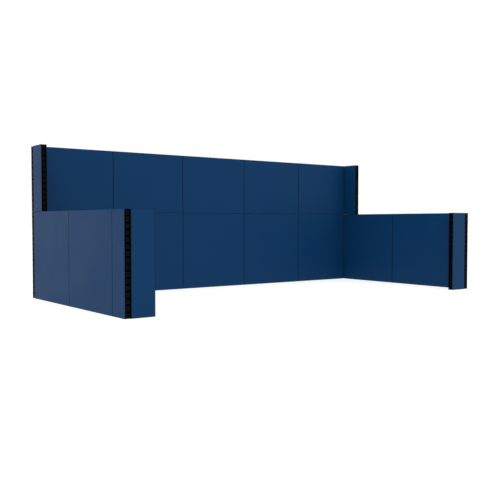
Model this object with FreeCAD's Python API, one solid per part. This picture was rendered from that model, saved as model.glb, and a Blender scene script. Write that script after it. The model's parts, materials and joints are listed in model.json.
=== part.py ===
# Modular exhibition partition wall: a U-shaped booth of hollow panels.
# The back wall has two tiers of five panels. The side walls are one tier high and
# end in a short return at the front; a short return also braces each upper corner.
# Every panel is a black moulded frame with a ladder of lugs down both ends, a grid
# core and two flat skins. Hidden C-section splines join the panels edge to edge, and
# screwed strips hold a panel's end against another panel's face.
# Frame: +Z up, +Y towards the back wall, origin on the floor under the middle of the
# whole plan. Millimetres.
import FreeCAD, Part
import os

from FreeCAD import Vector

os.makedirs("parts", exist_ok=True)

# ---- driving dimensions -------------------------------------------------------
MODULE = 1219.2  # width of a full panel
PITCH = MODULE / 16  # one lug and one gap
QUARTER = MODULE / 4  # width of a quarter panel
LOWER_LUGS = 16  # lugs in the height of each tier
UPPER_LUGS = 12
LOWER_TIER = LOWER_LUGS * PITCH
UPPER_TIER = UPPER_LUGS * PITCH
THICK = 76.2  # wall thickness
BACK_PANELS = 5
SEAM_GAP = 0.5  # air between two panels at a seam
TIER_GAP = 1.2  # play between a panel and the tier above it

SKIN = 2.5  # thickness of a skin
LIP = 2.2  # frame lip that covers the skin's edge
FLANGE = 3.0  # frame wall behind the skin
WEB = 3.0  # floor of the edge channel
CHANNEL = 20.0  # depth of the edge channel
RECESS = 3.0  # lug face below the frame's rim
LUG_WIDE = 47.0
LUG_TALL = 59.0
HEAD_DEEP = 7.0  # the lug's head, which a hook reaches behind
NECK_WIDE = 36.0
LUG_CHAMFER = 1.5
CAP_DEEP = 20.0  # reach of a top or bottom rail's flanges
CAP_PLATE = 4.0

STILE = 28.0  # solid border of the core, which takes screws
RIB = 4.0
CELL = 2 * PITCH  # spacing of the core's ribs

HOOK = 4.0  # metal thickness of splines and strips
HOOK_SLACK = 0.35  # air between a hook and the lug's head
HOOK_REACH = 5.0  # overlap of a hook behind the head
GROOVE_SLACK = 1.6  # air between a hook's leg and the lug's side
SPLINE_SHORT = 9.0  # a spline is this much shorter than its wall
SPLINE_FLOOR = 1.0  # and stands this far above the floor
STRIP_BASE = 2.9
STRIP_CLEAR = 2.0  # a corner strip stops this far from its tier's floor and top

SCREW_SHANK_R = 2.0
SCREW_HEAD_R = 3.6
SCREW_HEAD_DEEP = 2.0
SCREW_LONG = 26.0
SCREW_FIRST = 2  # the gap between lugs that takes the lowest screw
SCREW_EVERY = 4  # gaps from one screw to the next

OVERLAP = 1.0  # depth by which fused shapes run into each other
SAME_PLACE = 0.01  # two coordinates closer than this are one

# ---- places that follow from them ---------------------------------------------
HALF_WIDE = BACK_PANELS * MODULE / 2
SIDE_RUN = 2 * MODULE + QUARTER
BACK_FACE = (SIDE_RUN + THICK) / 2 - THICK  # inner face of the back wall, in Y
EDGE = SEAM_GAP / 2
RAIL = CHANNEL + WEB
MIDDLE = THICK / 2
HEAD_BACK = RECESS + HEAD_DEEP
GROOVE_SIDE = MIDDLE - LUG_WIDE / 2  # the lug's side, from the wall's face
LEG_IN = GROOVE_SIDE - GROOVE_SLACK
LEG_OUT = LEG_IN - HOOK
TIP = GROOVE_SIDE + HOOK_REACH
HOOK_IN = HEAD_BACK + HOOK_SLACK
HOOK_OUT = HOOK_IN + HOOK
LEFT_WALL = -HALF_WIDE + EDGE
RIGHT_WALL = HALF_WIDE - EDGE - THICK
SIDE_START = BACK_FACE - EDGE
FRONT_FACE = BACK_FACE - SIDE_RUN
UPPER_FLOOR = LOWER_TIER


def box(x0, x1, y0, y1, z0, z1):
    return Part.makeBox(x1 - x0, y1 - y0, z1 - z0, Vector(x0, y0, z0))


def prism(points, z0, z1):
    """Extrude a plan outline, a list of (x, y), from z0 up to z1."""
    corners = [Vector(x, y, z0) for x, y in points]
    outline = Part.makePolygon(corners + corners[:1])
    return Part.Face(outline).extrude(Vector(0, 0, z1 - z0))


def mirrored_across(points):
    """Add to half an outline its mirror image about the wall's middle plane."""
    return points + [(x, THICK - y) for x, y in reversed(points)]


def lies_at_x(edge, x):
    return all(abs(corner.X - x) < SAME_PLACE for corner in edge.Vertexes)


def turned(shape, centre, degrees):
    copy = shape.copy()
    copy.rotate(centre, Vector(0, 0, 1), degrees)
    return copy


# ---- pieces of one panel, with its end at x = 0 and its outer face at y = 0 ------
def lug(z_middle):
    """A T-shaped lug: a wide chamfered head on a narrower neck."""
    z0 = z_middle - LUG_TALL / 2
    z1 = z_middle + LUG_TALL / 2
    side = MIDDLE - LUG_WIDE / 2
    head = box(RECESS, HEAD_BACK, side, THICK - side, z0, z1)
    rim = [edge for edge in head.Edges if lies_at_x(edge, RECESS)]
    head = head.makeChamfer(LUG_CHAMFER, rim)
    neck_side = MIDDLE - NECK_WIDE / 2
    x0 = HEAD_BACK - OVERLAP
    x1 = CHANNEL + OVERLAP
    return head.fuse(box(x0, x1, neck_side, THICK - neck_side, z0, z1))


def end_rail(tall):
    """The upright ladder rail: a channel with a lug in every pitch."""
    half = [
        (0, 0),
        (LIP, 0),
        (LIP, SKIN),
        (RAIL, SKIN),
    ]
    inner = [
        (CHANNEL, SKIN + FLANGE),
        (0, SKIN + FLANGE),
    ]
    outline = mirrored_across(half)
    far = [(x, THICK - y) for x, y in reversed(inner)]
    body = prism(outline + far + inner, 0, tall)
    for z0 in (0, tall - LIP):
        for y0 in (0, THICK - SKIN):
            body = body.fuse(box(0, RAIL, y0, y0 + SKIN, z0, z0 + LIP))
    count = int(round((tall + TIER_GAP) / PITCH))
    lugs = [lug((i + 0.5) * PITCH - TIER_GAP / 2) for i in range(count)]
    return body.fuse(lugs).removeSplitter()


def cap_rail(long):
    """The bottom rail, between the end rails: an inward channel with flush pads."""
    x0 = RAIL
    x1 = long - RAIL
    plate = box(x0, x1, SKIN, THICK - SKIN, RECESS, RECESS + CAP_PLATE)
    pieces = []
    for near in (True, False):
        lip_y = 0 if near else THICK - SKIN
        flange_y = SKIN if near else THICK - SKIN - FLANGE
        pieces.append(box(x0, x1, lip_y, lip_y + SKIN, 0, LIP))
        pieces.append(box(x0, x1, flange_y, flange_y + FLANGE, 0, CAP_DEEP))
    side = MIDDLE - LUG_WIDE / 2
    margin = (PITCH - LUG_TALL) / 2
    count = int(round(long / PITCH))
    for i in range(count):
        start = max(i * PITCH + margin, x0 + RECESS)
        stop = min((i + 1) * PITCH - margin, x1 - RECESS)
        pieces.append(box(start, stop, side, THICK - side, 0, RECESS + OVERLAP))
    return plate.fuse(pieces).removeSplitter()


def frame_pieces(long, tall):
    """Two upright ladder rails, and a cap rail at the bottom and the top."""
    centre = Vector(long / 2, MIDDLE, 0)
    near = end_rail(tall)
    near.translate(Vector(EDGE, 0, 0))
    far = turned(near, centre, 180)
    bottom = cap_rail(long - 2 * EDGE)
    bottom.translate(Vector(EDGE, 0, 0))
    top = bottom.copy()
    top.rotate(Vector(long / 2, MIDDLE, tall / 2), Vector(1, 0, 0), 180)
    return [near, far, bottom, top]


def skin_pieces(long, tall):
    x0 = EDGE + LIP
    x1 = long - EDGE - LIP
    front = box(x0, x1, 0, SKIN, LIP, tall - LIP)
    rear = box(x0, x1, THICK - SKIN, THICK, LIP, tall - LIP)
    return [front, rear]


def core_piece(long, tall):
    """A grid core: a solid border with square cells inside it."""
    x0 = EDGE + RAIL
    x1 = long - EDGE - RAIL
    z0 = CAP_DEEP
    z1 = tall - CAP_DEEP
    y0 = SKIN
    depth = THICK - 2 * SKIN
    wires = [rectangle(x0, x1, z0, z1, y0)]
    cells_x = max(1, int(round((x1 - x0 - 2 * STILE) / CELL)))
    cells_z = max(1, int(round((z1 - z0 - 2 * STILE) / CELL)))
    step_x = (x1 - x0 - 2 * STILE + RIB) / cells_x
    step_z = (z1 - z0 - 2 * STILE + RIB) / cells_z
    for i in range(cells_x):
        for j in range(cells_z):
            left = x0 + STILE + i * step_x
            low = z0 + STILE + j * step_z
            cell = rectangle(left, left + step_x - RIB, low, low + step_z - RIB, y0)
            wires.append(cell)
    face = Part.Face(wires[0])
    holes = [Part.Face(wire) for wire in wires[1:]]
    return face.cut(holes).Faces[0].extrude(Vector(0, depth, 0))


def rectangle(x0, x1, z0, z1, y):
    corners = [Vector(x0, y, z0), Vector(x1, y, z0), Vector(x1, y, z1), Vector(x0, y, z1)]
    return Part.makePolygon(corners + corners[:1])


# ---- joining pieces ------------------------------------------------------------
def seam_spline(tall):
    """C-section across a seam at x = 0, in the groove on the y = 0 side."""
    out = HOOK_OUT + EDGE
    inn = HOOK_IN + EDGE
    outline = [
        (-out, LEG_OUT),
        (out, LEG_OUT),
        (out, TIP),
        (inn, TIP),
        (inn, LEG_IN),
        (-inn, LEG_IN),
        (-inn, TIP),
        (-out, TIP),
    ]
    return prism(outline, 0, tall)


def spline_pair(tall):
    near = seam_spline(tall)
    return [near, turned(near, Vector(0, MIDDLE, 0), 180)]


def screw():
    """A countersunk screw along -x, its flat head at x = 0."""
    head = Part.makeCone(SCREW_HEAD_R, SCREW_SHANK_R, SCREW_HEAD_DEEP)
    shank = Part.makeCylinder(SCREW_SHANK_R, SCREW_LONG)
    body = head.fuse(shank).removeSplitter()
    body.rotate(Vector(0, 0, 0), Vector(0, 1, 0), -90)
    return body


def corner_strip(tall):
    """A strip whose back lies on a face at x = -EDGE; its hooks point along +x."""
    half = [
        (-EDGE, LEG_OUT),
        (HOOK_OUT + EDGE, LEG_OUT),
        (HOOK_OUT + EDGE, TIP),
        (HOOK_IN + EDGE, TIP),
        (HOOK_IN + EDGE, LEG_IN),
        (STRIP_BASE - EDGE, LEG_IN),
    ]
    return prism(mirrored_across(half), 0, tall)


def corner_joint(lugs):
    """A strip with its screws, each in a gap between two lugs."""
    strip = corner_strip(lugs * PITCH - TIER_GAP - 2 * STRIP_CLEAR)
    strip.translate(Vector(0, 0, STRIP_CLEAR))
    screws = []
    for gap in range(SCREW_FIRST, lugs, SCREW_EVERY):
        one = screw()
        one.translate(Vector(STRIP_BASE - EDGE, MIDDLE, gap * PITCH))
        screws.append(one)
    return strip.cut(screws), screws


# ---- placing -------------------------------------------------------------------
TURN_ALONG_X = 0  # a panel's length runs along +X
TURN_TO_FRONT = -90  # a panel's length runs along -Y, its y = 0 face towards -X
TURN_BACKWARDS = 180  # a panel's length runs along -X


def placed(shape, x, y, z, turn):
    copy = turned(shape, Vector(0, 0, 0), turn)
    copy.translate(Vector(x, y, z))
    return copy


def panel_places():
    """Name, length, tier height, x, y, z and turn of every panel."""
    places = []
    for i in range(BACK_PANELS):
        x = -HALF_WIDE + i * MODULE
        places.append((f"back_lower_{i + 1}", MODULE, LOWER_TIER, x, BACK_FACE, 0, TURN_ALONG_X))
    for side, x in (("left", LEFT_WALL), ("right", RIGHT_WALL)):
        for i, long in enumerate((MODULE, MODULE, QUARTER)):
            name = f"{side}_lower_{i + 1}"
            y = SIDE_START - i * MODULE
            places.append((name, long, LOWER_TIER, x, y, 0, TURN_TO_FRONT))
    returns = (("left", LEFT_WALL + THICK + EDGE), ("right", RIGHT_WALL - EDGE - QUARTER))
    for side, x in returns:
        name = f"{side}_front_return"
        places.append((name, QUARTER, LOWER_TIER, x, FRONT_FACE, 0, TURN_ALONG_X))
    for i in range(BACK_PANELS):
        x = -HALF_WIDE + i * MODULE
        name = f"back_upper_{i + 1}"
        places.append((name, MODULE, UPPER_TIER, x, BACK_FACE, UPPER_FLOOR, TURN_ALONG_X))
    for side, x in (("left", LEFT_WALL), ("right", RIGHT_WALL)):
        name = f"{side}_upper_return"
        places.append((name, QUARTER, UPPER_TIER, x, SIDE_START, UPPER_FLOOR, TURN_TO_FRONT))
    return places


def export(name, solids):
    shape = solids[0] if len(solids) == 1 else Part.makeCompound(solids)
    shape.exportStep(f"parts/{name}.step")


def export_panels():
    """Skins and frame of each panel; the lower cores share one node."""
    made = {}
    lower_cores = []
    for name, long, tier, x, y, z, turn in panel_places():
        if (long, tier) not in made:
            tall = tier - TIER_GAP
            made[long, tier] = (
                skin_pieces(long, tall),
                frame_pieces(long, tall),
                core_piece(long, tall),
            )
        skins, frame, core = made[long, tier]
        export(f"{name}_skins", [placed(s, x, y, z, turn) for s in skins])
        export(f"{name}_frame", [placed(s, x, y, z, turn) for s in frame])
        core_here = placed(core, x, y, z, turn)
        if z == 0:
            lower_cores.append(core_here)
        else:
            export(f"{name}_core", [core_here])
    export("lower_cores", lower_cores)


def export_splines():
    """Long splines hold both tiers of the back wall; short ones join the side walls."""
    long_ones = []
    both_tiers = LOWER_TIER + UPPER_TIER - SPLINE_SHORT
    for i in range(1, BACK_PANELS):
        x = -HALF_WIDE + i * MODULE
        for piece in spline_pair(both_tiers):
            long_ones.append(placed(piece, x, BACK_FACE, SPLINE_FLOOR, TURN_ALONG_X))
    export("back_wall_splines", long_ones)
    short_ones = []
    for x in (LEFT_WALL, RIGHT_WALL):
        for i in (1, 2):
            for piece in spline_pair(LOWER_TIER - SPLINE_SHORT):
                y = SIDE_START - i * MODULE
                short_ones.append(placed(piece, x, y, SPLINE_FLOOR, TURN_TO_FRONT))
    export("side_wall_splines", short_ones)


def export_corners():
    """Strips and screws where a panel's end meets another panel's face."""
    lower = corner_joint(LOWER_LUGS)
    upper = corner_joint(UPPER_LUGS)
    right_return = RIGHT_WALL - EDGE
    lower_places = (
        (LEFT_WALL, SIDE_START, 0, TURN_TO_FRONT),
        (RIGHT_WALL, SIDE_START, 0, TURN_TO_FRONT),
        (LEFT_WALL + THICK + EDGE, FRONT_FACE, 0, TURN_ALONG_X),
        (right_return, FRONT_FACE + THICK, 0, TURN_BACKWARDS),
    )
    strips = [placed(lower[0], *place) for place in lower_places]
    screws = [placed(s, *place) for place in lower_places for s in lower[1]]
    export("lower_corner_strips", strips)
    export("lower_corner_screws", screws)
    for side, x in (("left", LEFT_WALL), ("right", RIGHT_WALL)):
        place = (x, SIDE_START, UPPER_FLOOR, TURN_TO_FRONT)
        export(f"{side}_upper_corner_strip", [placed(upper[0], *place)])
        export(f"{side}_upper_corner_screws", [placed(s, *place) for s in upper[1]])


export_panels()
export_splines()
export_corners()
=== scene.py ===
# %% [markdown]
# # A modular exhibition wall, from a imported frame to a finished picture
# The frame holds the true sizes and the bodies that move. Every visible piece below is
# modelled in metres around it, in the same axes: +Z up, +Y towards the back wall.

# %% Load the frame
import json
from math import pi, radians

import bmesh
import bpy
from mathutils import Matrix, Vector


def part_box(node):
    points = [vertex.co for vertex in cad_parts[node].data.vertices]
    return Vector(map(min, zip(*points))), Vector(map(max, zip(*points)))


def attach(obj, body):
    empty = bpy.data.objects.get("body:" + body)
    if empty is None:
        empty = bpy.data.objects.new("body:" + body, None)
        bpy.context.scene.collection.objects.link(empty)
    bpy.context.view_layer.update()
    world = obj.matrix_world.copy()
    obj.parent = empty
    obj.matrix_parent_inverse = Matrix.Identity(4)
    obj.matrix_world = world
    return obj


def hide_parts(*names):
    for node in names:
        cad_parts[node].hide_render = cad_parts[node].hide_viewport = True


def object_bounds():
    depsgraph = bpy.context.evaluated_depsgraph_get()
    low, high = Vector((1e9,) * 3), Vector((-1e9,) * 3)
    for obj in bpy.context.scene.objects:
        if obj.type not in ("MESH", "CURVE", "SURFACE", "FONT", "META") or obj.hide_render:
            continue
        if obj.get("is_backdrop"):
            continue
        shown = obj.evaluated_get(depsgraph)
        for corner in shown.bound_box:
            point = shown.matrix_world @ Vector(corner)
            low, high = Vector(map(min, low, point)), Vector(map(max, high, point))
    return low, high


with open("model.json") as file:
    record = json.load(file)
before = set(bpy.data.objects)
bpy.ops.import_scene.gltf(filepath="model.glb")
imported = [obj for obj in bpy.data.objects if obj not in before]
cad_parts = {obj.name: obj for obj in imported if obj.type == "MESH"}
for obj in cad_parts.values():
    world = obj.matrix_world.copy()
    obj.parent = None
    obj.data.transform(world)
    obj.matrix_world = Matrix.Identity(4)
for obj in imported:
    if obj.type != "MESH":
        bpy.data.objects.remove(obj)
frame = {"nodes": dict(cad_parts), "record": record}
cad_low, cad_high = (Vector(corner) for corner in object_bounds())
bodies_of_record = frame["record"]["behaviour"]["bodies"]
print("object:", [round(v, 4) for v in cad_high - cad_low])

# %% [markdown]
# ## The camera
# A wall six metres wide is seen from outside its open front, to the left, by someone
# sitting down. A camera is described by where it stands, where it looks and its lens. The
# look is one turn about the vertical and a slight tilt down, so upright edges stay nearly
# upright.

# %% Camera
CAMERA_PLACE = (-6.6821, -8.5249, 1.066)
CAMERA_TURN = 0.6451  # radians from +Y towards +X
CAMERA_TILT = 0.0383  # radians below level
CAMERA_LENS = 51.723  # millimetres on a 36 mm sensor

camera_data = bpy.data.cameras.new("camera")
camera_data.lens = CAMERA_LENS
camera_data.sensor_width = 36.0
camera_data.clip_end = 400.0
camera = bpy.data.objects.new("camera", camera_data)
bpy.context.scene.collection.objects.link(camera)
camera.location = CAMERA_PLACE
camera.rotation_euler = (pi / 2 - CAMERA_TILT, 0, -CAMERA_TURN)
bpy.context.scene.camera = camera
print("camera at", CAMERA_PLACE)

# %% [markdown]
# ## Selecting and moving by code
# An operator acts on whatever is selected, so each step first deselects everything and
# then picks what it needs by place or by the way it faces. These helpers keep the
# modelling cells short.

# %% Modelling helpers
MM = 0.001
SHARP = radians(40)  # edges that turn more than this are rounded
SMOOTH = radians(35)  # and those that turn less than this are shaded smooth


def deselect():
    """Leave edit mode and select nothing."""
    if bpy.context.mode != "OBJECT":
        bpy.ops.object.mode_set(mode="OBJECT")
    for item in bpy.context.selected_objects:
        item.select_set(False)


def make_active(piece):
    deselect()
    piece.select_set(True)
    bpy.context.view_layer.objects.active = piece


def added_box(name, low, high):
    """A box between two corners, with its place in its mesh."""
    deselect()
    low, high = Vector(low), Vector(high)
    bpy.ops.mesh.primitive_cube_add(size=1, location=(low + high) / 2, scale=high - low)
    bpy.ops.object.transform_apply(location=True, rotation=True, scale=True)
    piece = bpy.context.active_object
    piece.name = name
    return piece


def pick_faces(piece, wanted):
    """In edit mode, select the faces for which wanted(normal, centre) is true."""
    make_active(piece)
    bpy.ops.object.mode_set(mode="EDIT")
    bpy.ops.mesh.select_mode(type="FACE")
    bpy.ops.mesh.select_all(action="DESELECT")
    shape = bmesh.from_edit_mesh(piece.data)
    centre = Vector((0, 0, 0))
    picked = 0
    for face in shape.faces:
        if wanted(face.normal, face.calc_center_median()):
            face.select_set(True)
            centre += face.calc_center_median()
            picked += 1
    bmesh.update_edit_mesh(piece.data)
    return centre / max(picked, 1)


def extrude_faces(by):
    bpy.ops.mesh.extrude_region_move(TRANSFORM_OT_translate={"value": by})


def resize_selected(value, centre):
    bpy.ops.transform.resize(value=value, center_override=centre)


def copied(piece, matrix):
    """A copy with its own mesh, moved by a matrix."""
    copy = piece.copy()
    copy.data = piece.data.copy()
    copy.data.transform(matrix)
    bpy.context.scene.collection.objects.link(copy)
    return copy


def joined(name, pieces):
    make_active(pieces[0])
    for piece in pieces:
        piece.select_set(True)
    bpy.ops.object.join()
    whole = bpy.context.active_object
    whole.name = name
    whole.data.name = name
    return whole


def soften(piece, width, segments=2):
    """Round every sharp edge and shade the rounds smooth, as a mould leaves them."""
    make_active(piece)
    bevel = piece.modifiers.new("soft_edges", "BEVEL")
    bevel.width = width
    bevel.segments = segments
    bevel.limit_method = "ANGLE"
    bevel.angle_limit = SHARP
    bpy.ops.object.modifier_apply(modifier=bevel.name)
    bpy.ops.object.shade_smooth_by_angle(angle=SMOOTH)
    return piece


print("helpers ready")

# %% [markdown]
# ## Sizes that every panel shares
# The panels all have the same section, so its sizes are named once. Lengths and heights
# are read from the frame when a panel is placed.

# %% Panel section
THICK = 76.2 * MM
PITCH = 76.2 * MM
SKIN = 2.5 * MM
LIP = 2.2 * MM
FLANGE = 3.0 * MM
WEB = 3.0 * MM
CHANNEL = 20.0 * MM
RAIL = CHANNEL + WEB
RECESS = 3.0 * MM
LUG_WIDE = 47.0 * MM
LUG_TALL = 59.0 * MM
HEAD_DEEP = 7.0 * MM
NECK_WIDE = 36.0 * MM
CHAMFER = 1.5 * MM
CAP_DEEP = 20.0 * MM
CAP_PLATE = 4.0 * MM
LUG_SIDE = (THICK - LUG_WIDE) / 2
MOULD_ROUND = 0.6 * MM  # radius that a mould leaves on an edge
SHEET_ROUND = 0.7 * MM
EXTRUDED_ROUND = 0.5 * MM
STRIP_ROUND = 0.4 * MM
FACING = 0.9  # least dot product for a face to count as facing a direction
print("channel", CHANNEL, "deep, lugs every", PITCH)

# %% [markdown]
# ## One lug
# The ladder on a panel's end is a row of moulded lugs. Each is a T in plan: a head that a
# hook can reach behind, on a narrower neck. It could be drawn as two boxes, but a moulded
# head has a chamfered rim and a face that sinks a little, and those catch the light. So a
# box is extruded, scaled and inset into that shape.

# %% Lug
FACE_RIM = 4.0 * MM
FACE_SINK = 0.8 * MM


def chamfered_face(piece, direction, size_a, size_b, axes):
    """Chamfer a box's face towards direction, then sink its middle."""
    towards = Vector(direction)
    centre = pick_faces(piece, lambda n, c: n.dot(towards) > FACING)
    extrude_faces(towards * CHAMFER)
    scale = [1.0, 1.0, 1.0]
    scale[axes[0]] = (size_a - 2 * CHAMFER) / size_a
    scale[axes[1]] = (size_b - 2 * CHAMFER) / size_b
    resize_selected(scale, centre + towards * CHAMFER)
    bpy.ops.mesh.inset(thickness=FACE_RIM, depth=0)
    bpy.ops.transform.translate(value=-towards * FACE_SINK)


def lug_piece():
    """A lug whose head looks along -x, centred at z = 0."""
    low = (RECESS + CHAMFER, LUG_SIDE, -LUG_TALL / 2)
    high = (RECESS + HEAD_DEEP, THICK - LUG_SIDE, LUG_TALL / 2)
    piece = added_box("lug", low, high)
    chamfered_face(piece, (-1, 0, 0), LUG_WIDE, LUG_TALL, (1, 2))
    centre = pick_faces(piece, lambda n, c: n.x > FACING)
    extrude_faces((0, 0, 0))
    resize_selected((1, NECK_WIDE / LUG_WIDE, 1), centre)
    extrude_faces((CHANNEL - RECESS - HEAD_DEEP, 0, 0))
    deselect()
    return piece


# %% [markdown]
# ## The channel that the lugs stand in
# The rail's section is a U with a small lip on each side that covers the skin's edge. A
# flat plane is cut along the section's lines, the cells of the hollow are deleted, and
# what is left is extruded: that gives every wall its true thickness in one go.

# %% Channel


def profile_bar(name, size, cuts, hollow, length):
    """Cut a plane of size (x, y) along cuts, drop its hollow cells, and extrude it up."""
    deselect()
    bpy.ops.mesh.primitive_plane_add(size=1, location=(size[0] / 2, size[1] / 2, 0))
    bpy.ops.object.mode_set(mode="EDIT")
    resize_selected((size[0], size[1], 1), (size[0] / 2, size[1] / 2, 0))
    for axis, places in enumerate(cuts):
        for place in places:
            at = [0, 0, 0]
            along = [0, 0, 0]
            at[axis] = place
            along[axis] = 1
            bpy.ops.mesh.select_all(action="SELECT")
            bpy.ops.mesh.bisect(plane_co=at, plane_no=along)
    bpy.ops.object.mode_set(mode="OBJECT")
    bpy.ops.object.transform_apply(location=True, rotation=True, scale=True)
    piece = bpy.context.active_object
    piece.name = name
    pick_faces(piece, lambda n, c: hollow(c.x, c.y))
    bpy.ops.mesh.delete(type="FACE")
    bpy.ops.mesh.select_all(action="SELECT")
    extrude_faces((0, 0, length))
    bpy.ops.mesh.select_all(action="SELECT")
    bpy.ops.mesh.dissolve_limited(angle_limit=radians(1))
    bpy.ops.mesh.select_all(action="SELECT")
    bpy.ops.mesh.normals_make_consistent(inside=False)
    deselect()
    return piece


def in_skin_layer(y):
    return y < SKIN or y > THICK - SKIN


def channel_hollow(x, y):
    """The part of the end rail's outline that is air, or a skin's place."""
    if in_skin_layer(y):
        return x > LIP
    return x < CHANNEL and SKIN + FLANGE < y < THICK - SKIN - FLANGE


ACROSS = (SKIN, SKIN + FLANGE, THICK - SKIN - FLANGE, THICK - SKIN)


def end_rail(tall):
    """The upright ladder rail, with its outer edge at x = 0."""
    cuts = ((LIP, CHANNEL), ACROSS)
    pieces = [profile_bar("channel", (RAIL, THICK), cuts, channel_hollow, tall)]
    for z in (0, tall - LIP):
        for y in (0, THICK - SKIN):
            pieces.append(added_box("lip", (LIP, y, z), (RAIL, y + SKIN, z + LIP)))
    count = round(tall / PITCH)
    first = tall / 2 - (count - 1) / 2 * PITCH
    lug = lug_piece()
    for i in range(count):
        pieces.append(copied(lug, Matrix.Translation((0, 0, first + i * PITCH))))
    bpy.data.objects.remove(lug)
    return soften(joined("end_rail", pieces), MOULD_ROUND)


# %% [markdown]
# ## The cap rail
# Along the top and bottom of a panel the same black moulding lies between the end rails.
# It is turned over: its channel opens inwards, and shallow pads stand on its outside in
# step with the lugs, so that tiers stand on each other pad to pad.

# %% Cap rail


def cap_hollow(depth, y):
    """Air in the cap's section; depth is measured from the wall's rim inwards."""
    if in_skin_layer(y):
        return depth > LIP
    if y < SKIN + FLANGE or y > THICK - SKIN - FLANGE:
        return False
    return depth < RECESS or depth > RECESS + CAP_PLATE


def pad_piece(start, stop):
    piece = added_box("pad", (start, LUG_SIDE, CHAMFER), (stop, THICK - LUG_SIDE, RECESS))
    chamfered_face(piece, (0, 0, -1), stop - start, LUG_WIDE, (0, 1))
    deselect()
    return piece


def cap_rail(long):
    """The bottom rail of a panel that starts at x = 0."""
    cuts = ((LIP, RECESS, RECESS + CAP_PLATE), ACROSS)
    bar = profile_bar("cap", (CAP_DEEP, THICK), cuts, cap_hollow, long - 2 * RAIL)
    lay_down = Matrix(((0, 0, 1, RAIL), (0, 1, 0, 0), (1, 0, 0, 0), (0, 0, 0, 1)))
    bar.data.transform(lay_down)
    bar.data.flip_normals()
    pieces = [bar]
    count = round(long / PITCH)
    slack = (count * PITCH - long) / 2
    margin = (PITCH - LUG_TALL) / 2
    for i in range(count):
        start = max(i * PITCH + margin - slack, RAIL + RECESS)
        stop = min((i + 1) * PITCH - margin - slack, long - RAIL - RECESS)
        pieces.append(pad_piece(start, stop))
    return soften(joined("cap_rail", pieces), MOULD_ROUND)


# %% [markdown]
# ## How deep a point lies
# Each point of a rail carries a value, from 0 at the rim and the lugs' faces to 1 on the
# channel's floor. The material uses it to paint shade into the hollows: a deeper black and
# a weaker reflection than on the faces.

# %% Depth value
FULL_DEPTH = RECESS + HEAD_DEEP


def mark_depth(piece, depth_at):
    """Store how deep each point lies under the rim, from 0 to 1."""
    # This value is the mask for the shade painted into the rails' hollows.
    values = piece.data.attributes.new("hollow", "FLOAT", "POINT")
    for i, point in enumerate(piece.data.vertices):
        below_face = depth_at(point.co) - RECESS - CHAMFER
        share = below_face / (FULL_DEPTH - RECESS - CHAMFER)
        values.data[i].value = min(max(share, 0.0), 1.0)


# %% [markdown]
# ## The skins
# A panel's face is one flat sheet. Nothing breaks its surface, so all of its character is
# in the finish and in how its edge is rounded. An inset would leave long slanted faces at
# the corners, so the sheet is cut straight across near each edge instead. That gives the
# edges points of their own, which can carry two values: "rim" for every edge, where hands
# leave rubs, and "side" for the upright ones, where a thin dark line is painted as shade.

# %% Skin
RIM_BAND = 30.0 * MM


def skin_sheet(long, tall):
    piece = added_box("sheet", (LIP, 0, LIP), (long - LIP, SKIN, tall - LIP))
    make_active(piece)
    bpy.ops.object.mode_set(mode="EDIT")
    for axis, reach in ((0, long), (2, tall)):
        for place in (LIP + RIM_BAND, reach - LIP - RIM_BAND):
            at = [0, 0, 0]
            along = [0, 0, 0]
            at[axis] = place
            along[axis] = 1
            bpy.ops.mesh.select_all(action="SELECT")
            bpy.ops.mesh.bisect(plane_co=at, plane_no=along)
    soften(piece, SHEET_ROUND, 3)
    rim = piece.data.attributes.new("rim", "FLOAT", "POINT")
    side = piece.data.attributes.new("side", "FLOAT", "POINT")
    for i, point in enumerate(piece.data.vertices):
        from_side = min(point.co.x, long - point.co.x)
        from_end = min(point.co.z, tall - point.co.z)
        side.data[i].value = float(from_side < RIM_BAND / 2)
        rim.data[i].value = float(min(from_side, from_end) < RIM_BAND / 2)
    return piece


# %% [markdown]
# ## Building and placing the panels
# There are four kinds of panel, full or quarter width and low or high tier. Each kind is
# modelled once at the origin and then copied to every place where the frame has one. A
# panel whose box is longer in Y than in X is turned to run towards the front.

# %% Panels
kinds = {}


def half_turn(centre, axis):
    place = Matrix.Translation(centre)
    return place @ Matrix.Rotation(pi, 4, axis) @ place.inverted()


def panel_kind(long, tall):
    """The rails and the skins of a panel of this size, modelled once."""
    key = (round(long, 4), round(tall, 4))
    if key not in kinds:
        middle = Vector((long / 2, THICK / 2, tall / 2))
        near = end_rail(tall)
        mark_depth(near, lambda point: point.x)
        far = copied(near, half_turn(middle, "Z"))
        bottom = cap_rail(long)
        mark_depth(bottom, lambda point: point.z)
        top = copied(bottom, half_turn(middle, "X"))
        rails = joined("rails_kind", [near, far, bottom, top])
        front = skin_sheet(long, tall)
        rear = copied(front, half_turn(middle, "Z"))
        skins = joined("skins_kind", [front, rear])
        kinds[key] = (rails, skins)
    return kinds[key]


def panel_place(panel, far_end=False):
    """Where a panel's own frame stands, or the same for its far end."""
    low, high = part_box(f"{panel}_frame")
    size = high - low
    if size.y > size.x:
        corner = Matrix.Translation((low.x, high.y, low.z))
        return corner @ Matrix.Rotation(-pi / 2, 4, "Z")
    place = Matrix.Translation(low)
    if far_end:
        place = place @ half_turn(Vector((size.x / 2, THICK / 2, 0)), "Z")
    return place


def body_of(node):
    return next(body for body, nodes in bodies_of_record.items() if node in nodes)


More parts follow.
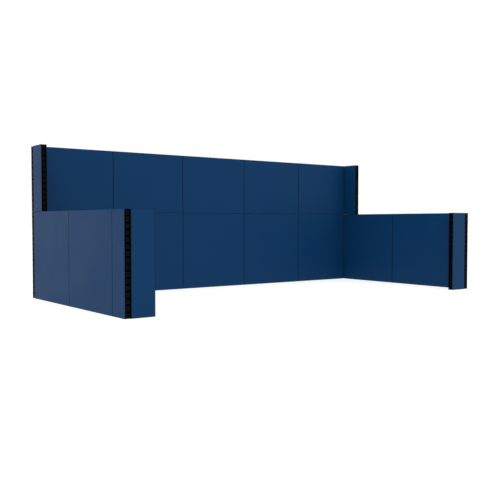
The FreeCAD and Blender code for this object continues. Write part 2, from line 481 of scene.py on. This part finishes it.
panels = sorted(n[: -len("_skins")] for n in frame["nodes"] if n.endswith("_skins"))
rail_pieces = []
skin_pieces = []
for panel in panels:
    low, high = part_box(f"{panel}_frame")
    size = high - low
    kind = panel_kind(max(size.x, size.y), size.z)
    place = panel_place(panel)
    for piece, kept, word in zip(kind, (rail_pieces, skin_pieces), ("rails", "sheets")):
        copy = copied(piece, place)
        copy.name = f"{panel}_{word}"
        copy.data.name = copy.name
        kept.append(copy)
for rails, skins in kinds.values():
    bpy.data.objects.remove(rails)
    bpy.data.objects.remove(skins)
print("kinds:", len(kinds), "panels:", len(panels))

# %% [markdown]
# ## Each piece takes its CAD node's place
# A new piece hides the node that it stands for and moves with that node's body, so a
# lifted panel takes its own rails and sheets along.

# %% Ride and replace
for panel, rails, skins in zip(panels, rail_pieces, skin_pieces):
    for piece, node, slot in ((rails, "frame", "frame"), (skins, "skins", "skin")):
        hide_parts(f"{panel}_{node}")
        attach(piece, body_of(f"{panel}_{node}"))
print("first rail piece has", len(rail_pieces[0].data.polygons), "faces")

# %% [markdown]
# ## The splines
# Two C-shaped bars drop into the grooves at every seam and hook behind the lugs of both
# panels. They are aluminium extrusions, so the same way of making fits them: cut a plane
# along the section's lines, delete the hollow, extrude. Each length is made once, then
# copied and turned to face its partner across the wall.

# %% Splines
EDGE = 0.25 * MM  # half of the air between two panels
HOOK = 4.0 * MM  # metal thickness
GROOVE_SLACK = 1.6 * MM
HOOK_REACH = 5.0 * MM
HOOK_SLACK = 0.35 * MM
LEG_IN = LUG_SIDE - GROOVE_SLACK
LEG_OUT = LEG_IN - HOOK
TIP = LUG_SIDE + HOOK_REACH
HOOK_IN = RECESS + HEAD_DEEP + HOOK_SLACK + EDGE
HOOK_OUT = HOOK_IN + HOOK


def spline_hollow(x, y):
    return y > HOOK and HOOK < x < 2 * HOOK_OUT - HOOK


def spline_kind(length):
    size = (2 * HOOK_OUT, TIP - LEG_OUT)
    cuts = ((HOOK, 2 * HOOK_OUT - HOOK), (HOOK,))
    piece = profile_bar("spline", size, cuts, spline_hollow, length)
    piece.data.transform(Matrix.Translation((-HOOK_OUT, LEG_OUT, 0)))
    return soften(piece, EXTRUDED_ROUND)


def splines_at(node, seams, turn):
    """A facing pair at each seam, as one piece that stands for the CAD node."""
    low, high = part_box(node)
    first = spline_kind(high.z - low.z)
    copies = []
    for x, y in seams:
        place = Matrix.Translation((x, y, low.z)) @ Matrix.Rotation(turn, 4, "Z")
        facing = place @ half_turn(Vector((0, THICK / 2, 0)), "Z")
        copies += [copied(first, place), copied(first, facing)]
    bpy.data.objects.remove(first)
    return joined(f"{node}_bars", copies)


back_seams = []
for i in range(1, 5):
    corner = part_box(f"back_lower_{i + 1}_frame")[0]
    back_seams.append((corner.x - EDGE, corner.y))
side_seams = []
for side in ("left", "right"):
    for i in (2, 3):
        low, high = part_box(f"{side}_lower_{i}_frame")
        side_seams.append((low.x, high.y + EDGE))
joining = {
    "back_wall_splines": splines_at("back_wall_splines", back_seams, 0),
    "side_wall_splines": splines_at("side_wall_splines", side_seams, -pi / 2),
}
print("seams:", len(back_seams) + len(side_seams))

# %% [markdown]
# ## Corner strips
# Where a panel's end meets another panel's face there are no lugs to hook on that face. A
# strip with two hooks is screwed to it instead. It is a profile too, cut and extruded.

# %% Corner strips
STRIP_BASE = 2.9 * MM
STRIP_CLEAR = 2.0 * MM  # a strip stops this far from its tier's floor and top
STRIP_WIDE = THICK - 2 * LEG_OUT
STRIP_DEEP = HOOK_OUT + EDGE
HOOK_START = HOOK_IN + EDGE


def strip_hollow(x, y):
    from_side = min(y, STRIP_WIDE - y)
    if x < STRIP_BASE or from_side < HOOK:
        return False
    return x < HOOK_START or from_side > TIP - LEG_OUT


def strip_kind(length):
    sides = (HOOK, TIP - LEG_OUT)
    cuts = ((STRIP_BASE, HOOK_START), sides + tuple(STRIP_WIDE - s for s in sides))
    piece = profile_bar("strip", (STRIP_DEEP, STRIP_WIDE), cuts, strip_hollow, length)
    piece.data.transform(Matrix.Translation((-2 * EDGE, LEG_OUT, STRIP_CLEAR)))
    return soften(piece, STRIP_ROUND)


# %% [markdown]
# ## One screw
# The screws are countersunk wood screws: a flat cone head with a cross recess, a thin
# shank, and a row of small cones for the thread. The recess is cut by two crossed boxes.

# %% Screw
HEAD_R = 3.6 * MM
HEAD_TALL = 2.0 * MM
SHANK_R = 1.4 * MM
THREAD_R = 2.0 * MM
THREAD_STEP = 1.6 * MM
SCREW_LONG = 26.0 * MM
POINT_LONG = 3.0 * MM
CROSS_WIDE = 0.9 * MM
CROSS_LONG = 4.2 * MM
CROSS_DEEP = 1.2 * MM
THREAD_ROOT = 0.9  # radius between threads, as a share of the shank's


def turned_cone(name, low_r, high_r, start, stop):
    """A cone along z from start to stop, with these radii at its ends."""
    deselect()
    bpy.ops.mesh.primitive_cone_add(
        vertices=24,
        radius1=low_r,
        radius2=high_r,
        depth=stop - start,
        location=(0, 0, (start + stop) / 2),
    )
    bpy.ops.object.transform_apply(location=True, rotation=True, scale=True)
    piece = bpy.context.active_object
    piece.name = name
    return piece


def screw_kind():
    """A screw whose head's face lies at the origin and looks along +x."""
    head = turned_cone("head", SHANK_R, HEAD_R, -HEAD_TALL, 0)
    for long, wide in ((CROSS_LONG, CROSS_WIDE), (CROSS_WIDE, CROSS_LONG)):
        corner = Vector((long / 2, wide / 2, CROSS_DEEP))
        cutter = added_box("cutter", -corner, corner)
        make_active(head)
        cut = head.modifiers.new("cross", "BOOLEAN")
        cut.object = cutter
        cut.operation = "DIFFERENCE"
        bpy.ops.object.modifier_apply(modifier=cut.name)
        bpy.data.objects.remove(cutter)
    tip = -SCREW_LONG
    pieces = [head]
    pieces.append(turned_cone("shank", SHANK_R, SHANK_R, tip + POINT_LONG, -HEAD_TALL))
    pieces.append(turned_cone("point", 0.0, SHANK_R, tip, tip + POINT_LONG))
    turns = int((SCREW_LONG - HEAD_TALL - 2 * POINT_LONG) / THREAD_STEP)
    for i in range(turns):
        start = tip + POINT_LONG + i * THREAD_STEP
        top = start + THREAD_STEP
        pieces.append(turned_cone("thread", THREAD_R, SHANK_R * THREAD_ROOT, start, top))
    whole = joined("screw", pieces)
    whole.data.transform(Matrix.Rotation(pi / 2, 4, "Y"))
    bpy.ops.object.shade_smooth_by_angle(angle=SMOOTH)
    return whole


# %% [markdown]
# ## Strips and screws in their places
# A strip stands at the end of the panel that it holds. Its screws sit in the gaps between
# that panel's lugs, where a driver can reach them before the panel is hung.

# %% Place the strips and screws
SCREW_FIRST = 2  # the gap between lugs that takes the lowest screw
SCREW_EVERY = 4  # gaps from one screw to the next


def corner_fixings(strip_node, screw_node, ends):
    strips = []
    screws = []
    for panel, far_end in ends:
        low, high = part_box(f"{panel}_frame")
        tall = high.z - low.z
        place = panel_place(panel, far_end)
        strip = strip_kind(tall - 2 * STRIP_CLEAR)
        strips.append(copied(strip, place))
        bpy.data.objects.remove(strip)
        for gap in range(SCREW_FIRST, round(tall / PITCH), SCREW_EVERY):
            spot = (STRIP_BASE - 2 * EDGE, THICK / 2, gap * PITCH)
            screws.append(copied(one_screw, place @ Matrix.Translation(spot)))
    joining[strip_node] = joined(f"{strip_node}_bars", strips)
    joining[screw_node] = joined(f"{screw_node}_set", screws)


one_screw = screw_kind()
lower_ends = (
    ("left_lower_1", False),
    ("right_lower_1", False),
    ("left_front_return", False),
    ("right_front_return", True),
)
corner_fixings("lower_corner_strips", "lower_corner_screws", lower_ends)
for side in ("left", "right"):
    names = (f"{side}_upper_corner_strip", f"{side}_upper_corner_screws")
    corner_fixings(*names, ((f"{side}_upper_return", False),))
bpy.data.objects.remove(one_screw)
for node_name, piece in joining.items():
    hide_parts(node_name)
    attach(piece, body_of(node_name))
print("joining pieces:", sorted(joining))

# %% [markdown]
# ## Materials: one helper for colour, one for nodes
# Colours are chosen as sRGB hex values, as a paint card gives them, and one function turns
# them to the linear values that a renderer works in. Another small function adds a node,
# sets it and links it.

# %% Material helpers


def linear(code):
    """An sRGB hex colour such as "1B3A5F" as linear RGBA."""
    channels = [int(code[i : i + 2], 16) / 255 for i in (0, 2, 4)]
    curve = [c / 12.92 if c <= 0.04045 else ((c + 0.055) / 1.055) ** 2.4 for c in channels]
    return (*curve, 1.0)


def node(tree, kind, settings=None, links=None):
    """Add a node, set its properties or input values, and link its inputs."""
    made = tree.nodes.new(kind)
    for key, value in (settings or {}).items():
        if isinstance(key, int) or key in made.inputs:
            made.inputs[key].default_value = value
        else:
            setattr(made, key, value)
    for key, source in (links or {}).items():
        tree.links.new(source, made.inputs[key])
    return made


def new_material(name, settings):
    """A material with one Principled shader and Object coordinates."""
    material = bpy.data.materials.new(name)
    material.use_nodes = True
    tree = material.node_tree
    tree.nodes.clear()
    shader = node(tree, "ShaderNodeBsdfPrincipled", settings)
    node(tree, "ShaderNodeOutputMaterial", links={"Surface": shader.outputs[0]})
    place = node(tree, "ShaderNodeTexCoord").outputs["Object"]
    return material, tree, shader, place


def per_metre(size_mm):
    """A texture scale whose features are about this many millimetres across."""
    return 1000.0 / size_mm


print("white", linear("FFFFFF"))

# %% [markdown]
# ## Blue skin: the colour of the sheet
# The sheet's red is almost nil, so any greyness comes from light glancing off it. The
# colour drifts very slightly across a sheet, and the rim picks up pale rubs where panels
# are carried.

# %% Sheet colour
DRIFT_MM = 700
RUB_MM = 9
SHEET_BLUE = "06335B"
SHEET_BLUE_PALER = "0A3760"
RUBBED_BLUE = "2C5078"


def drift_of(tree, place):
    """A slow cloud across a sheet, for its colour and its gloss."""
    settings = {"Scale": per_metre(DRIFT_MM), "Detail": 3.0, "Roughness": 0.6}
    return node(tree, "ShaderNodeTexNoise", settings, {"Vector": place})


def rubbed_colour(tree, place, drift):
    tone = node(
        tree,
        "ShaderNodeMix",
        {"data_type": "RGBA", 6: linear(SHEET_BLUE), 7: linear(SHEET_BLUE_PALER)},
        {0: drift.outputs["Fac"]},
    )
    rim = node(tree, "ShaderNodeAttribute", {"attribute_name": "rim"}).outputs["Fac"]
    rubs = node(
        tree,
        "ShaderNodeTexNoise",
        {"Scale": per_metre(RUB_MM), "Detail": 6.0, "Roughness": 0.7},
        {"Vector": place},
    )
    spots = node(
        tree,
        "ShaderNodeMapRange",
        {"From Min": 0.55, "From Max": 0.75, "To Min": 0.0, "To Max": 0.35},
        {"Value": rubs.outputs["Fac"]},
    )
    steep = node(tree, "ShaderNodeMath", {"operation": "POWER", 1: 4.0}, {0: rim})
    worn = node(
        tree,
        "ShaderNodeMath",
        {"operation": "MULTIPLY"},
        {0: steep.outputs[0], 1: spots.outputs[0]},
    )
    return node(
        tree,
        "ShaderNodeMix",
        {"data_type": "RGBA", 7: linear(RUBBED_BLUE)},
        {0: worn.outputs[0], 6: tone.outputs[2]},
    )


print("blue", [round(c, 4) for c in linear(SHEET_BLUE)])

# %% [markdown]
# ## Painted shade along the seams
# A thin dark line is painted at each upright edge of a sheet, as the shade in the narrow
# gap between two panels, and the sheet's reflection is weaker there. The line starts a set
# distance from the edge, so it is worked out from the "side" value, which rises from 0 to
# 1 across the rim band.

# %% Painted seam shade
SEAM_SHADE_WIDE = 3.6 * MM
SEAM_SHADE_SHARE = SEAM_SHADE_WIDE / RIM_BAND
SEAM_SHADE_STRENGTH = 0.8
SEAM_SHADE_COLOUR = "020A14"
SHEET_GLOSS = 0.082  # specular level of the sheet away from the painted seam shade


def add_seam_shade(tree, shader, colour):
    # Paints shade along each upright seam: a darker colour and a weaker reflection.
    side = node(tree, "ShaderNodeAttribute", {"attribute_name": "side"}).outputs["Fac"]
    band = {
        "From Min": 1 - SEAM_SHADE_SHARE,
        "From Max": 1 - SEAM_SHADE_SHARE / 2,
        "To Max": SEAM_SHADE_STRENGTH,
    }
    seam_shade = node(tree, "ShaderNodeMapRange", band, {"Value": side})
    shaded_colour = node(
        tree,
        "ShaderNodeMix",
        {"data_type": "RGBA", 7: linear(SEAM_SHADE_COLOUR)},
        {0: seam_shade.outputs[0], 6: colour.outputs[2]},
    )
    shaded_gloss = node(
        tree,
        "ShaderNodeMapRange",
        {"To Min": SHEET_GLOSS, "To Max": SHEET_GLOSS / 3},
        {"Value": seam_shade.outputs[0]},
    )
    tree.links.new(shaded_gloss.outputs[0], shader.inputs["Specular IOR Level"])
    tree.links.new(shaded_colour.outputs[2], shader.inputs["Base Color"])


# %% [markdown]
# ## Blue skin: extruded polypropylene sheet with a haircell grain
# Polypropylene sheet comes off textured rollers, so its face is satin, with a fine pebble
# that blurs reflections. The real grain is about 0.6 mm, and it is drawn 2.5 mm wide so
# that it shows.

# %% Skin material
GRAIN_MM = 2.5
PLASTIC_IOR = 1.49


def skin_material():
    settings = {"IOR": PLASTIC_IOR}
    material, tree, shader, place = new_material("haircell_polypropylene_blue", settings)
    drift = drift_of(tree, place)
    add_seam_shade(tree, shader, rubbed_colour(tree, place, drift))
    grain = node(
        tree,
        "ShaderNodeTexVoronoi",
        {"feature": "SMOOTH_F1", "Scale": per_metre(GRAIN_MM), "Smoothness": 0.6},
        {"Vector": place},
    )
    gloss = node(
        tree,
        "ShaderNodeMapRange",
        {"From Min": 0.3, "From Max": 0.7, "To Min": 0.46, "To Max": 0.56},
        {"Value": drift.outputs["Fac"]},
    )
    bump = node(
        tree,
        "ShaderNodeBump",
        {"Strength": 0.22, "Distance": 0.15 * MM},
        {"Height": grain.outputs["Distance"]},
    )
    tree.links.new(gloss.outputs[0], shader.inputs["Roughness"])
    tree.links.new(bump.outputs[0], shader.inputs["Normal"])
    return material


# %% [markdown]
# ## Black rails: injection-moulded polypropylene
# The mould leaves an even spark-eroded texture, finer than the skins' grain. Faces that
# hands and splines rub are satin and a touch dusty. The hollows are rougher, and are
# painted a deeper black with a weaker reflection as painted shade, so the lugs stand out
# from the channel behind them.

# %% Rail material
SPARK_MM = 1.6
DUST_MM = 25
FACE_GLOSS = 0.035  # specular level of a rubbed face
HOLLOW_SHADE_GLOSS = 0.01  # and of a hollow, lowered there as painted shade


def rail_material():
    settings = {"IOR": PLASTIC_IOR}
    material, tree, shader, place = new_material("moulded_polypropylene_black", settings)
    hollow = node(tree, "ShaderNodeAttribute", {"attribute_name": "hollow"}).outputs["Fac"]
    dust = node(
        tree,
        "ShaderNodeTexNoise",
        {"Scale": per_metre(DUST_MM), "Detail": 5.0, "Roughness": 0.65},
        {"Vector": place},
    )
    face = node(
        tree,
        "ShaderNodeMix",
        {"data_type": "RGBA", 6: linear("040505"), 7: linear("0A0A0A")},
        {0: dust.outputs["Fac"]},
    )
    # The hollows are painted near black, as painted shade in the recesses.
    tone = node(
        tree,
        "ShaderNodeMix",
        {"data_type": "RGBA", 7: linear("010101")},
        {0: hollow, 6: face.outputs[2]},
    )
    # Their reflection is weakened too, as painted shade.
    gloss = node(
        tree,
        "ShaderNodeMapRange",
        {"To Min": FACE_GLOSS, "To Max": HOLLOW_SHADE_GLOSS},
        {"Value": hollow},
    )
    matt = node(
        tree,
        "ShaderNodeMapRange",
        {"To Min": 0.45, "To Max": 0.8},
        {"Value": hollow},
    )
    spark = node(
        tree,
        "ShaderNodeTexNoise",
        {"Scale": per_metre(SPARK_MM), "Detail": 2.0},
        {"Vector": place},
    )
    bump = node(
        tree,
        "ShaderNodeBump",
        {"Strength": 0.15, "Distance": 0.1 * MM},
        {"Height": spark.outputs["Fac"]},
    )
    tree.links.new(tone.outputs[2], shader.inputs["Base Color"])
    tree.links.new(gloss.outputs[0], shader.inputs["Specular IOR Level"])
    tree.links.new(matt.outputs[0], shader.inputs["Roughness"])
    tree.links.new(bump.outputs[0], shader.inputs["Normal"])
    return material


# %% [markdown]
# ## Hidden pieces: aluminium splines, board cores, zinc-plated screws
# They show only when a panel is lifted off, or in a section. The splines are extruded, so
# their fine die lines run along their length. The core is brown kraft board. Zinc plate is
# a slightly cloudy grey.

# %% Hidden materials
DIE_LINE_MM = 1.5
FIBRE_MM = 3.0
CLOUD_MM = 4.0


def spline_material():
    settings = {"Metallic": 1.0, "Roughness": 0.35}
    material, tree, shader, place = new_material("extruded_aluminium", settings)
    stretch = node(
        tree,
        "ShaderNodeMapping",
        {"Scale": (1.0, 1.0, 0.01)},
        {"Vector": place},
    )
    lines = node(
        tree,
        "ShaderNodeTexNoise",
        {"Scale": per_metre(DIE_LINE_MM), "Detail": 3.0},
        {"Vector": stretch.outputs[0]},
    )
    tone = node(
        tree,
        "ShaderNodeMix",
        {"data_type": "RGBA", 6: linear("BFC2C5"), 7: linear("D3D5D8")},
        {0: lines.outputs["Fac"]},
    )
    rough = node(
        tree,
        "ShaderNodeMapRange",
        {"To Min": 0.28, "To Max": 0.45},
        {"Value": lines.outputs["Fac"]},
    )
    bump = node(
        tree,
        "ShaderNodeBump",
        {"Strength": 0.2, "Distance": 0.05 * MM},
        {"Height": lines.outputs["Fac"]},
    )
    tree.links.new(tone.outputs[2], shader.inputs["Base Color"])
    tree.links.new(rough.outputs[0], shader.inputs["Roughness"])
    tree.links.new(bump.outputs[0], shader.inputs["Normal"])
    return material


def core_material():
    settings = {"Roughness": 0.9, "Specular IOR Level": 0.2}
    material, tree, shader, place = new_material("kraft_board", settings)
    fibre = node(
        tree,
        "ShaderNodeTexNoise",
        {"Scale": per_metre(FIBRE_MM), "Detail": 6.0, "Roughness": 0.75},
        {"Vector": place},
    )
    tone = node(
        tree,
        "ShaderNodeMix",
        {"data_type": "RGBA", 6: linear("8C6B4A"), 7: linear("B08F68")},
        {0: fibre.outputs["Fac"]},
    )
    bump = node(
        tree,
        "ShaderNodeBump",
        {"Strength": 0.3, "Distance": 0.2 * MM},
        {"Height": fibre.outputs["Fac"]},
    )
    tree.links.new(tone.outputs[2], shader.inputs["Base Color"])
    tree.links.new(bump.outputs[0], shader.inputs["Normal"])
    return material


def screw_material():
    settings = {"Metallic": 1.0, "Roughness": 0.4}
    material, tree, shader, place = new_material("zinc_plated_steel", settings)
    cloud = node(
        tree,
        "ShaderNodeTexNoise",
        {"Scale": per_metre(CLOUD_MM), "Detail": 4.0},
        {"Vector": place},
    )
    tone = node(
        tree,
        "ShaderNodeMix",
        {"data_type": "RGBA", 6: linear("A9ACAE"), 7: linear("C6C8C6")},
        {0: cloud.outputs["Fac"]},
    )
    rough = node(
        tree,
        "ShaderNodeMapRange",
        {"To Min": 0.3, "To Max": 0.5},
        {"Value": cloud.outputs["Fac"]},
    )
    tree.links.new(tone.outputs[2], shader.inputs["Base Color"])
    tree.links.new(rough.outputs[0], shader.inputs["Roughness"])
    return material


# %% [markdown]
# ## Giving each piece its finish
# A node's name ends with the kind of piece that it holds, and each kind has one finish. So
# the hidden CAD pieces and the new pieces are finished from the same table.

# %% Assign the finishes


def give(piece, material):
    piece.data.materials.clear()
    piece.data.materials.append(material)


metal_finish = spline_material()
finish_of_kind = {
    "skins": skin_material(),
    "frame": rail_material(),
    "core": core_material(),
    "splines": metal_finish,
    "strip": metal_finish,
    "screws": screw_material(),
}
finish_of_kind["cores"] = finish_of_kind["core"]
finish_of_kind["strips"] = finish_of_kind["strip"]
for name, piece in frame["nodes"].items():
    give(piece, finish_of_kind[name.split("_")[-1]])
for piece in skin_pieces:
    give(piece, finish_of_kind["skins"])
for piece in rail_pieces:
    give(piece, finish_of_kind["frame"])
for node_name, piece in joining.items():
    give(piece, finish_of_kind[node_name.split("_")[-1]])
print("finishes:", len(set(finish_of_kind.values())))

# %% [markdown]
# ## A pale studio
# The wall stands on a wide white floor under an even white sky, as in a catalogue picture.
# The floor glows a little, so that it stays white right up to the panels and lights their
# lower edges.

# %% Floor and light
FLOOR_SIZE = 300.0
PAPER_MM = 900
FLOOR_GLOW = 0.75

deselect()
bpy.ops.mesh.primitive_plane_add(size=FLOOR_SIZE, location=(0, 0, cad_low.z))
bpy.ops.object.transform_apply(location=True, rotation=True, scale=True)
floor = bpy.context.active_object
floor.name = "studio_floor"
floor_settings = {
    "Roughness": 1.0,
    "Specular IOR Level": 0.0,
    "Emission Color": linear("FFFFFF"),
    "Emission Strength": FLOOR_GLOW,
}
floor_finish, floor_tree, floor_shader, floor_place = new_material(
    "white_studio_floor", floor_settings
)
paper = node(
    floor_tree,
    "ShaderNodeTexNoise",
    {"Scale": per_metre(PAPER_MM), "Detail": 2.0},
    {"Vector": floor_place},
)
paper_tone = node(
    floor_tree,
    "ShaderNodeMix",
    {"data_type": "RGBA", 6: linear("AAAAAA"), 7: linear("B0B0B0")},
    {0: paper.outputs["Fac"]},
)
floor_tree.links.new(paper_tone.outputs[2], floor_shader.inputs["Base Color"])
give(floor, floor_finish)
floor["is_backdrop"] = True

world = bpy.data.worlds.new("white_sky")
world.use_nodes = True
sky = world.node_tree.nodes["Background"]
sky.inputs["Color"].default_value = linear("FFFFFF")
sky.inputs["Strength"].default_value = 1.0
bpy.context.scene.world = world
bpy.context.scene.view_settings.view_transform = "Standard"

# %% [markdown]
# ## Measure and finish
# The finished pieces are measured again, so that the model can be compared with the frame.

# %% Size and finish
low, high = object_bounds()
